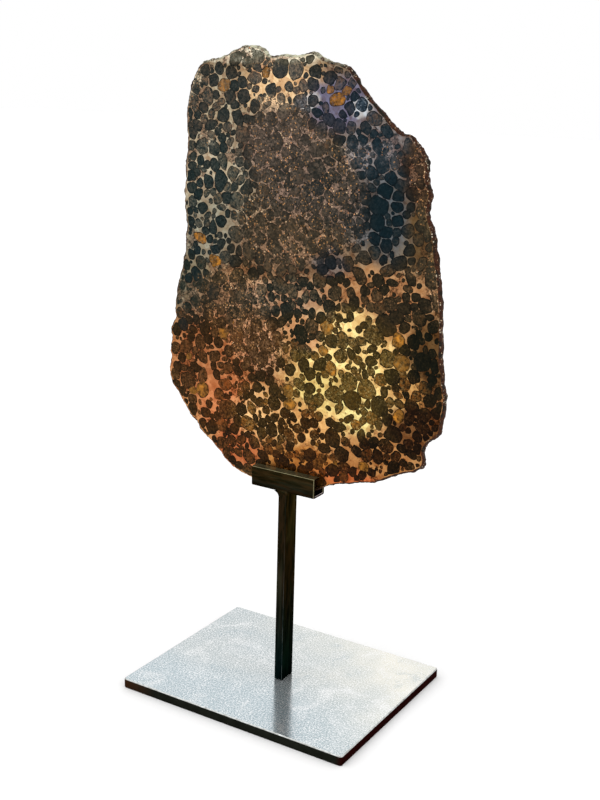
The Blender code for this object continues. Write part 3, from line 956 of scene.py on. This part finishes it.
class Crystals:
    """Places and sizes of the crystals that show on one side of the slice, in mm."""

    def __init__(self, outline, chance, pools):
        self.outline = outline
        self.chance = chance
        self.pools = pools
        self.rows = np.zeros((0, 3))
        self.shapes = []

    def add(self, x, z, width, height, tilt, kind, tone):
        self.rows = np.vstack((self.rows, (x, z, sqrt(width * height) / 2)))
        self.shapes.append((width / 2, height / 2, radians(tilt), kind, tone))

    def room(self, x, z):
        """Largest radius that fits at a place beside the crystals already there."""
        if not len(self.rows):
            return FAR_MM
        return float((np.hypot(self.rows[:, 0] - x, self.rows[:, 1] - z) - self.rows[:, 2]).min())

    def in_pool(self, x, z):
        return any(
            hypot((x - middle_x) / half_width, (z - middle_z) / half_height) < POOL_CORE
            for middle_x, middle_z, half_width, half_height in self.pools
        )

    def fill(self):
        low = self.outline.start.min(axis=0)
        high = self.outline.start.max(axis=0)
        for least, most, tries in SIZE_CLASSES:
            for _ in range(tries):
                x = self.chance.uniform(low[0], high[0])
                z = self.chance.uniform(low[1], high[1])
                radius = self.chance.uniform(least, most)
                draws = [self.chance.random() for _ in range(4)]
                if not self.outline.contains(x, z):
                    continue
                if self.outline.nearest(x, z)[1].min() < EDGE_SHARE * radius:
                    continue
                if self.in_pool(x, z) and (radius > SMALL_RADIUS or draws[0] > POOL_CHANCE):
                    continue
                if radius > SMALL_RADIUS and noise.noise(Vector((x, 40, z)) / OPEN_SIZE_MM) > OPEN_NOISE:
                    continue
                if self.room(x, z) < OVERLAP * radius:
                    continue
                stretch = 1 + STRETCH * draws[1] ** STRETCH_POWER
                golden = draws[2] > GOLDEN_OVER and z < GOLDEN_BELOW
                kind = AMBER if golden else BROWN if draws[2] > BROWN_OVER else DARK
                self.add(x, z, 2 * radius * stretch, 2 * radius / stretch, draws[3] * 180, kind, draws[0])

    def grow(self):
        """Lets each crystal grow until it meets its nearest neighbour."""
        for index, (x, z, radius) in enumerate(self.rows):
            gaps = np.hypot(self.rows[:, 0] - x, self.rows[:, 1] - z) - self.rows[:, 2] - radius
            gaps[index] = FAR_MM
            share = min(GROWTH, max(1.0, 1 + gaps.min() / radius))
            self.rows[index, 2] *= share
            half_width, half_height, *rest = self.shapes[index]
            self.shapes[index] = (half_width * share, half_height * share, *rest)

    def walls(self, index, film):
        """Half planes that cut the crystal: where they face and how far off they are."""
        x, z, radius = self.rows[index]
        offsets = self.rows[:, :2] - (x, z)
        distances = np.hypot(*offsets.T)
        touching = np.flatnonzero((distances > 0) & (distances < TOUCH_SHARE * (self.rows[:, 2] + radius)))
        for other in touching:
            share = radius / (radius + self.rows[other, 2])
            between = x + self.rows[other, 0], z + self.rows[other, 1]
            pair = noise.noise(Vector((GAP_NOISE * between[0], GAP_NOISE * between[1], GAP_LAYER)))
            gap = film * (GAP_SPREAD * pair - GAP_LOWERING)
            reach = max(LEAST_TO_CRYSTAL * radius, distances[other] * share - gap / 2)
            yield offsets[other] / distances[other], reach
        gaps, lengths = self.outline.nearest(x, z)
        used = []
        for place in np.argsort(lengths):
            if lengths[place] > EDGE_REACH * radius or len(used) == EDGE_WALLS:
                break
            facing = gaps[place] / max(lengths[place], 1e-6)
            if all(facing @ other < EDGE_WALLS_APART for other in used):
                used.append(facing)
                yield facing, max(LEAST_TO_EDGE * radius, lengths[place] - EDGE_MARGIN_MM)

    def reach(self, index, film):
        """The crystal's outline: from a direction to its distance in mm and how far a wall made it."""
        half_width, half_height, tilt, _, _ = self.shapes[index]
        x, z, radius = self.rows[index]
        joined = np.interp(z, *CONTACT_REACH)
        walls = list(self.walls(index, film))
        touching = len(walls)
        turn = self.chance.uniform(0, 2 * pi)
        sides = self.chance.choice(FACET_COUNTS)
        for side in range(sides):
            angle = turn + (side + self.chance.uniform(-FACET_SWAY, FACET_SWAY)) * 2 * pi / sides
            own_reach = hypot(half_width * cos(angle - tilt), half_height * sin(angle - tilt))
            reach = self.chance.uniform(*FACET_REACH) * own_reach
            walls.append((np.array((cos(angle), sin(angle))), reach))

        def distance(angle):
            toward = np.array((cos(angle), sin(angle)))
            bend = hypot(cos(angle - tilt) / half_width, sin(angle - tilt) / half_height)
            total = (bend / FULLNESS) ** ROUNDNESS
            pulls = [(max(0, toward @ facing) / reach) ** ROUNDNESS for facing, reach in walls]
            total += sum(pulls)
            bends = (x + RIPPLE_BENDS * cos(angle), RIPPLE_BENDS * sin(angle), radius)
            ripple = noise.noise(Vector(bends))
            contact = sum(pulls[:touching]) / total
            return (1 + RIPPLE * ripple + joined * contact) * total ** (-1 / ROUNDNESS), contact

        return distance


def corners_for(radius):
    """Corners of a crystal's outline, by its size in mm."""
    return next(corners for most, corners, _ in OUTLINE_STEPS if radius < most)


def shape_crystals(crystals, settings, plane, direction):
    """Closed inlays whose borders dip under the metal and whose tops stand just proud of it."""
    bm = bmesh.new()
    bm.verts.layers.int.new("crystal")
    for name in ("core", "tone", "kind"):
        bm.verts.layers.float.new(name)
    number = bm.verts.layers.int["crystal"]
    facing = Matrix.Rotation(-direction * pi / 2, 4, "X")
    classes = {}
    for index, (x, z, radius) in enumerate(crystals.rows):
        made = bmesh.ops.create_circle(
            bm, cap_ends=True, radius=radius * MM, segments=corners_for(radius), matrix=facing
        )["verts"]
        distance = crystals.reach(index, settings.film / MM)
        for vert in made:
            angle = atan2(vert.co.z, vert.co.x)
            reach, contact = distance(angle)
            vert.co = Vector((x + reach * cos(angle), 0, z + reach * sin(angle))) * MM
            vert[number] = index
            vert[bm.verts.layers.float["core"]] = CONTACT_CORE * contact
    bm.normal_update()
    caps = list(bm.faces)
    bottoms = list(bm.verts)
    made = bmesh.ops.extrude_face_region(bm, geom=caps, use_keep_orig=True)["geom"]
    tops = [item for item in made if isinstance(item, bmesh.types.BMFace)]
    borders = [item for item in made if isinstance(item, bmesh.types.BMVert)]
    for vert in bottoms:
        vert.co.y = plane - direction * INLAY_DEPTH
    for vert in borders:
        vert.co.y = plane - direction * INLAY_SUNK
    for face in tops:
        classes.setdefault(len(face.verts), []).append(face)
    shares = {corners: share for _, corners, share in OUTLINE_STEPS}
    ring_points = []
    for corners, faces in classes.items():
        bmesh.ops.inset_individual(
            bm, faces=faces, thickness=settings.band * shares[corners], use_even_offset=True
        )
        ring_points += [vert for face in faces for vert in face.verts]
    for vert in ring_points:
        lift = INLAY_UNEVEN * noise.noise(Vector((vert[number] * INLAY_NOISE_STEP, 0, 0)))
        vert.co.y = plane + direction * (INLAY_PROUD + lift)
    centres = bmesh.ops.poke(bm, faces=tops)["verts"]
    core, tone, kind = (bm.verts.layers.float[name] for name in ("core", "tone", "kind"))
    for vert in ring_points:
        vert[core] = RING_CORE
    for vert in centres:
        vert[number] = vert.link_edges[0].other_vert(vert)[number]
        vert.co.y += direction * INLAY_DOME
        vert[core] = 1
    for vert in bm.verts:
        shape = crystals.shapes[vert[number]]
        vert[kind], vert[tone] = shape[3], shape[4]
    for face in bm.faces:
        face.material_index = int(face.verts[0][kind] == AMBER)
    bmesh.ops.recalc_face_normals(bm, faces=bm.faces)
    bm.verts.layers.int.remove(bm.verts.layers.int["crystal"])
    return bm


def crystals_of_side(settings, direction):
    seed = settings.seed + (0 if direction < 0 else 1)
    chance = Random(seed)
    outline = Outline(outline_of_side(direction))
    mirrored = direction > 0
    pools = OPEN_METAL
    if mirrored:
        pools = [(x + BACK_POOLS[0], z + BACK_POOLS[1], *sizes) for x, z, *sizes in OPEN_METAL[::2]]
    crystals = Crystals(outline, chance, pools)
    if not mirrored:
        for x, z, width, height, tilt, kind in SHOWN_CRYSTALS:
            crystals.add(x, z, width, height, tilt, kind, chance.random())
    crystals.fill()
    crystals.grow()
    return crystals


# Shapes and finishes of the stand


def shape_ground_weld(front, joint):
    """Weld metal ground off flush across the tube's front and the post's."""
    bm = bmesh.new()
    centre = (POST_MIDDLE, front - WELD_PROUD + GROUND_WELD[1] / 2, joint)
    bmesh.ops.create_cube(bm, size=1, matrix=Matrix.Translation(centre) @ Matrix.Diagonal((*GROUND_WELD, 1)))
    bmesh.ops.subdivide_edges(bm, edges=bm.edges, cuts=4, use_grid_fill=True)
    for vert in bm.verts:
        offset = vert.co.x - POST_MIDDLE
        sag = WELD_SAG * (2 * offset / GROUND_WELD[0]) ** 2
        vert.co.z += WELD_WOBBLE * noise.noise(vert.co / WELD_LUMP) - sag
    round_edges(bm, WELD_ROUNDING, 2, WELD_TURN)
    return bm


def shape_weld_bead(front, back, joint, chance):
    """Row of small weld ripples under the tube on the post's right side."""
    bm = bmesh.new()
    right = POST_MIDDLE + POST_WIDTH / 2
    place = front + BEAD_MARGIN
    while place < back - BEAD_MARGIN:
        radius = BEAD_RADIUS * chance.uniform(*BEAD_SHARES)
        lean = Matrix.Rotation(radians(chance.uniform(*BEAD_LEAN)), 4, "Y")
        turn = lean @ Matrix.Diagonal((BEAD_FLATNESS, 1, 1, 1))
        middle = Matrix.Translation((right, place, joint))
        bmesh.ops.create_icosphere(bm, subdivisions=2, radius=radius, matrix=middle @ turn)
        place += BEAD_STEP
    bm.normal_update()
    return bm


def dark_steel(name, colour, warm, cool, low, high, brushed):
    """Oiled dark steel whose tint drifts from warm at the top to cool at the foot."""
    material, graph, shader = new_material(name, metallic=1.0, specular=0.1)
    shader["Specular Tint"].default_value = (0.45, 0.45, 0.42, 1)
    where = graph.place()
    marks = graph.group("steel_marks", Vector=where, **{"Grain direction": brushed})
    axes = graph.split(where, "XYZ")
    climb = graph.span(axes["Z"], low, high, smooth=True)
    tint = graph.mix(climb, cool, warm)
    base = graph.mix(graph.times(climb, 0.6), tint, colour)
    drawn = graph.noise(graph.vector("MULTIPLY", where, brushed), 520, 5, 0.7)
    blued = graph.tinted(base, (0.26, 0.46, 0.46))
    base = graph.mix(graph.span(drawn, 0.45, 0.55, 0, 0.9), base, blued)
    base = graph.mix(graph.times(marks["Cloud"], 0.4), base, graph.tinted(base, (0.5, 0.5, 0.5)))
    smear = graph.mix(climb, srgb(SMEAR_COOL), srgb(SMEAR_WARM))
    base = graph.mix(graph.times(marks["Smears"], 0.4), base, smear)
    graph.feed(shader["Base Color"], base)
    graph.feed(shader["Roughness"], graph.span(marks["Cloud"], 0, 1, 0.34, 0.5))
    graph.feed(shader["Normal"], graph.bump(marks["Pits"], 0.12, 0.05 * MM))
    return material


def edge_steel(name, colour, metallic=0.9):
    """Bare metal that shows on worn edges and cut ends, in light colours that stand as painted highlights on
    the holder and plate.
    """
    material, graph, shader = new_material(name, metallic=metallic)
    where = graph.place()
    marks = graph.group("steel_marks", Vector=where, **{"Cloud per metre": 300.0})
    worn = graph.mix(marks["Cloud"], graph.tinted(colour, (0.35, 0.33, 0.3)), colour)
    graph.feed(shader["Base Color"], worn)
    graph.feed(shader["Roughness"], graph.span(marks["Cloud"], 0, 1, 0.3, 0.48))
    return material


def plate_top_steel(settings):
    """Brushed and waxed steel with a fine sparkle, white smears and cool patches, a painted cool reflection
    over the front and painted glare towards the right and back.
    """
    material, graph, shader = new_material("plate_top_steel", metallic=0.78, specular=0.3)
    where = graph.place()
    marks = graph.group("steel_marks", Vector=where, **{"Cloud per metre": 26.0})
    sparkle = graph.noise(where, 950, 3, 0.85)
    smear = graph.noise(where, 42, 5, 0.68, distortion=0.8)
    axes = graph.split(where, "XYZ")
    # Painted glare towards the right and back, and a painted cool reflection over the front
    painted_right_glare = graph.span(graph.plus(axes["X"], axes["Y"]), -0.02, 0.12, smooth=True)
    painted_front_reflection = graph.span(axes["Y"], 0.0, -0.04, smooth=True)
    top = graph.mix(painted_front_reflection, tuple(settings.plate_top), srgb(PLATE_FRONT_REFLECTION))
    top = graph.mix(painted_right_glare, top, srgb(PLATE_RIGHT_GLARE))
    top = graph.mix(graph.times(marks["Cloud"], 0.5), top, srgb(PLATE_CLOUD))
    top = graph.mix(graph.span(smear, 0.54, 0.7, 0, 0.55), top, (1.0, 1.0, 1.0))
    top = graph.mix(graph.span(smear, 0.42, 0.3, 0, 0.5), top, srgb(PLATE_SHADE))
    glitter = graph.plus(sparkle, graph.times(marks["Smears"], 0.03))
    top = graph.mix(graph.span(glitter, 0.53, 0.58, 0, 0.85), top, (1.0, 1.0, 1.0))
    speck = graph.times(graph.span(sparkle, 0.47, 0.38, 0, 0.75), graph.minus(1.0, painted_right_glare))
    top = graph.mix(speck, top, srgb(PLATE_SPECK))
    graph.feed(shader["Base Color"], top)
    graph.feed(shader["Roughness"], graph.span(marks["Cloud"], 0, 1, 0.12, 0.2))
    relief = graph.plus(sparkle, graph.times(marks["Pits"], 0.3))
    graph.feed(shader["Normal"], graph.bump(relief, 0.25, 0.04 * MM))
    return material


def plate_side_steel(settings):
    """Dark scale on the plate's sawn sides, redder towards the right end, where painted shade makes the end
    near black.
    """
    material, graph, shader = new_material("plate_side_steel", metallic=1.0, specular=0.1)
    shader["Specular Tint"].default_value = (0.45, 0.45, 0.45, 1)
    where = graph.place()
    marks = graph.group("steel_marks", Vector=where, **{"Cloud per metre": 110.0})
    axes = graph.split(where, "XYZ")
    right = graph.span(axes["X"], 0.076, 0.0795)
    left = graph.span(axes["X"], -0.055, -0.08, 0, 0.8)
    side = graph.mix(left, tuple(settings.plate_side), srgb(PLATE_LEFT_END))
    # The right end is painted near black as shade, with a red tint
    side = graph.mix(right, side, srgb(PLATE_SHADED_RIGHT_END))
    side = graph.mix(graph.times(marks["Cloud"], 0.6), side, graph.tinted(side, (0.35, 0.35, 0.35)))
    graph.feed(shader["Base Color"], side)
    graph.feed(shader["Roughness"], graph.span(marks["Cloud"], 0, 1, 0.42, 0.6))
    graph.feed(shader["Normal"], graph.bump(marks["Pits"], 0.2, 0.06 * MM))
    return material


# Steps that build the pieces and the stage


class MESH_OT_pallasite_body(bpy.types.Operator):
    """Model the slice's nickel iron body with its broken rim"""

    bl_idname = "mesh.pallasite_body"
    bl_label = "Slice body"

    def execute(self, context):
        settings = context.scene.pallasite_slice
        bm = shape_slice_body()
        finishes = (polished_metal(settings), crust_surface(settings))
        finish_piece("slice_body", bm, finishes, "slice")
        return {"FINISHED"}


class MESH_OT_pallasite_crystals(bpy.types.Operator):
    """Set the olivine crystals into both polished faces"""

    bl_idname = "mesh.pallasite_crystals"
    bl_label = "Olivine crystals"

    def execute(self, context):
        settings = context.scene.pallasite_slice
        finishes = (
            crystal_surface("olivine", settings, False),
            crystal_surface("golden_olivine", settings, True),
        )
        low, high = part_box("slice")
        sides = (("olivine_front", low[1] + FACE_RECESS, -1), ("olivine_back", high[1] - FACE_RECESS, 1))
        for name, plane, direction in sides:
            crystals = crystals_of_side(settings, direction)
            if len(crystals.rows) < LEAST_CRYSTALS:
                raise RuntimeError(f"only {len(crystals.rows)} crystals found room on {name}")
            bm = shape_crystals(crystals, settings, plane, direction)
            finish_piece(name, bm, finishes)
        return {"FINISHED"}


class MESH_OT_stand_holder(bpy.types.Operator):
    """Model the slotted tube that holds the slice"""

    bl_idname = "mesh.stand_holder"
    bl_label = "Holder"

    def execute(self, context):
        settings = context.scene.pallasite_stand
        bm = merged_copy("holder")
        round_edges(bm, settings.edge, 3, TUBE_TURN, clamped=True)
        low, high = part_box("holder")
        reach = (low[2], high[2], GRAIN_ALONG_X)
        tints = (tuple(settings.holder), srgb(HOLDER_WARM), srgb(HOLDER_COOL))
        steel = dark_steel("holder_steel", *tints, *reach)
        # The top front edge and the end: worn metal painted light as a highlight
        worn = edge_steel("holder_worn_edge_highlight", srgb(HOLDER_WORN_HIGHLIGHT))
        # The end of the tube's floor, painted near white as a highlight
        cut = edge_steel("holder_cut_floor_highlight", srgb(HOLDER_CUT_HIGHLIGHT))
        # The top face, painted lighter as lit from above
        lit_top = edge_steel("holder_top_painted_light", srgb(HOLDER_LIT_TOP), 0.3)
        for face in bm.faces:
            middle = face.calc_center_median()
            rounded = max(abs(part) for part in face.normal) < SQUARE
            on_top = middle.z > high[2] - HOLDER_EDGE and middle.y < low[1] + HOLDER_EDGE
            at_end = middle.x > high[0] - HOLDER_EDGE
            on_floor = face.normal.x > HALF_SQUARE and middle.z < low[2] + HOLDER_WALL
            face.material_index = 2 if on_floor else int(rounded and (on_top or at_end))
            if face.normal.z > SQUARE and middle.z > high[2] - HOLDER_EDGE:
                face.material_index = 3
        finish_piece("holder_tube", bm, (steel, worn, cut, lit_top), "holder")
        return {"FINISHED"}


class MESH_OT_stand_post(bpy.types.Operator):
    """Model the flat bar that carries the tube"""

    bl_idname = "mesh.stand_post"
    bl_label = "Post"

    def execute(self, context):
        settings = context.scene.pallasite_stand
        bm = merged_copy("post")
        low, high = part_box("post")
        reach = (low[2], high[2], GRAIN_ALONG_Z)
        tints = (tuple(settings.post), srgb(POST_WARM), srgb(POST_COOL))
        highlight_tints = (srgb(POST_EDGE_HIGHLIGHT), srgb(POST_EDGE_HIGHLIGHT_WARM), srgb(POST_EDGE_HIGHLIGHT_COOL))
        steel = dark_steel("post_steel", *tints, *reach)
        # The front right corner, painted lighter as a highlight along the edge
        worn = dark_steel("post_worn_edge_highlight", *highlight_tints, *reach)
        for face in bm.faces:
            face.material_index = int(face.normal.x > SLANTED and face.normal.y < -SLANTED)
        finish_piece("post_bar", bm, (steel, worn), "post")
        return {"FINISHED"}


class MESH_OT_stand_welds(bpy.types.Operator):
    """Model the ground weld on the post's front and the bead on its right"""

    bl_idname = "mesh.stand_welds"
    bl_label = "Welds"

    def execute(self, context):
        settings = context.scene.pallasite_stand
        low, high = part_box("holder")
        brown = (tuple(settings.holder), srgb(WELD_WARM), srgb(WELD_COOL))
        ground = dark_steel("ground_weld_steel", *brown, low[2] - MM, low[2] + MM, NO_GRAIN)
        finish_piece("weld_ground", shape_ground_weld(low[1], low[2]), (ground,))
        bead = edge_steel("weld_bead_steel", srgb(BEAD_BARE), 0.9)
        ripples = shape_weld_bead(low[1], high[1], low[2], Random(BEAD_SEED))
        finish_piece("weld_bead", ripples, (bead,))
        return {"FINISHED"}


class MESH_OT_stand_plate(bpy.types.Operator):
    """Model the base plate"""

    bl_idname = "mesh.stand_plate"
    bl_label = "Base plate"

    def execute(self, context):
        settings = context.scene.pallasite_stand
        bm = merged_copy("base_plate")
        # The rounded top edge: worn metal painted near white as a highlight
        bare_highlight = edge_steel("plate_bare_edge_highlight", srgb(PLATE_EDGE_HIGHLIGHT))
        finishes = (plate_side_steel(settings), plate_top_steel(settings), bare_highlight)
        for face in bm.faces:
            lean = face.normal.z
            face.material_index = 1 if lean > SQUARE else 2 if lean > SLANTED else 0
        finish_piece("plate", bm, finishes, "base_plate")
        return {"FINISHED"}


class SCENE_OT_studio_stage(bpy.types.Operator):
    """Set up the pale floor, the soft light and the camera"""

    bl_idname = "scene.studio_stage"
    bl_label = "Stage"

    def execute(self, context):
        scene = context.scene
        settings = scene.pallasite_stage
        floor_material, graph, shader = new_material("pale_floor", roughness=0.8, specular=0.1)
        speckle = graph.noise(graph.place(), 40, 2, 0.5)
        colour = tuple(settings.floor)
        dusty = graph.tinted(colour, (0.985, 0.985, 0.985))
        graph.feed(shader["Base Color"], graph.mix(speckle, colour, dusty))
        bm = bmesh.new()
        bmesh.ops.create_grid(bm, x_segments=1, y_segments=1, size=FLOOR_REACH)
        mesh = bpy.data.meshes.new("studio_floor")
        bm.to_mesh(mesh)
        bm.free()
        mesh.materials.append(floor_material)
        floor = bpy.data.objects.new("studio_floor", mesh)
        scene.collection.objects.link(floor)
        floor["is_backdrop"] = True
        self.light(scene, settings)
        self.camera(scene)
        return {"FINISHED"}

    def light(self, scene, settings):
        world = bpy.data.worlds.new("white_room")
        scene.world = world
        world.use_nodes = True
        background = world.node_tree.nodes["Background"]
        background.inputs["Color"].default_value = (1, 1, 1, 1)
        background.inputs["Strength"].default_value = settings.sky
        lamps = (
            ("soft_light_left", (-0.7, -0.9, 1.5), 60, 0.5),
            ("soft_light_right", (1.2, -0.1, 1.1), 40, 0.3),
        )
        for name, place, spread, power in lamps:
            lamp = bpy.data.lights.new(name, "SUN")
            lamp.angle = radians(spread)
            lamp.energy = power * settings.lamps
            hung = bpy.data.objects.new(name, lamp)
            turn = (-Vector(place)).to_track_quat("-Z", "Y").to_matrix().to_4x4()
            hung.matrix_world = Matrix.Translation(place) @ turn
            scene.collection.objects.link(hung)
        scene.view_settings.view_transform = "Standard"

    def camera(self, scene):
        camera = bpy.data.cameras.new("camera")
        camera.lens = CAMERA_LENS_MM
        camera.sensor_width = SENSOR_MM
        camera.sensor_height = SENSOR_MM
        camera.sensor_fit = "AUTO"
        camera.clip_start = 0.01
        camera.clip_end = 50
        viewer = bpy.data.objects.new("camera", camera)
        turn = Matrix((CAMERA_RIGHT, CAMERA_UP, [-part for part in CAMERA_FORWARD])).transposed()
        viewer.matrix_world = Matrix.Translation(CAMERA_PLACE) @ turn.to_4x4()
        scene.collection.objects.link(viewer)
        scene.camera = viewer


class VIEW3D_PT_pallasite(bpy.types.Panel):
    """Sizes, colours and the steps that build the slice and its stand"""

    bl_idname = "VIEW3D_PT_pallasite"
    bl_label = "Pallasite slice"
    bl_space_type = "VIEW_3D"
    bl_region_type = "UI"
    bl_category = "Pallasite"

    def draw(self, context):
        scene = context.scene
        for group in (scene.pallasite_slice, scene.pallasite_stand, scene.pallasite_stage):
            box = self.layout.box()
            for name in group.__annotations__:
                box.prop(group, name)
        for step in STEPS:
            self.layout.operator(step.bl_idname)


STEPS = (
    MESH_OT_stand_plate,
    MESH_OT_stand_post,
    MESH_OT_stand_holder,
    MESH_OT_stand_welds,
    MESH_OT_pallasite_body,
    MESH_OT_pallasite_crystals,
    SCENE_OT_studio_stage,
)
SETTINGS = (
    ("pallasite_slice", SliceSettings),
    ("pallasite_stand", StandSettings),
    ("pallasite_stage", StageSettings),
)


def register():
    for name, group in SETTINGS:
        bpy.utils.register_class(group)
        setattr(bpy.types.Scene, name, PointerProperty(type=group))
    for entry in (*STEPS, VIEW3D_PT_pallasite):
        bpy.utils.register_class(entry)


def unregister():
    for entry in reversed((*STEPS, VIEW3D_PT_pallasite)):
        bpy.utils.unregister_class(entry)
    for name, group in reversed(SETTINGS):
        delattr(bpy.types.Scene, name)
        bpy.utils.unregister_class(group)


def main():
    register()
    for build in (build_tone_and_reflection_group, build_weathering_group, build_grain_group, build_steel_group):
        build()
    bpy.ops.mesh.stand_plate()
    bpy.ops.mesh.stand_post()
    bpy.ops.mesh.stand_holder()
    bpy.ops.mesh.stand_welds()
    bpy.ops.mesh.pallasite_body()
    bpy.ops.mesh.pallasite_crystals()
    bpy.ops.scene.studio_stage()
    boxes = {
        name: [[float(value) for value in corner] for corner in box]
        for name, box in (("cad", CAD_BOX), ("visual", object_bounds()))
    }


if __name__ == "__main__":
    main()
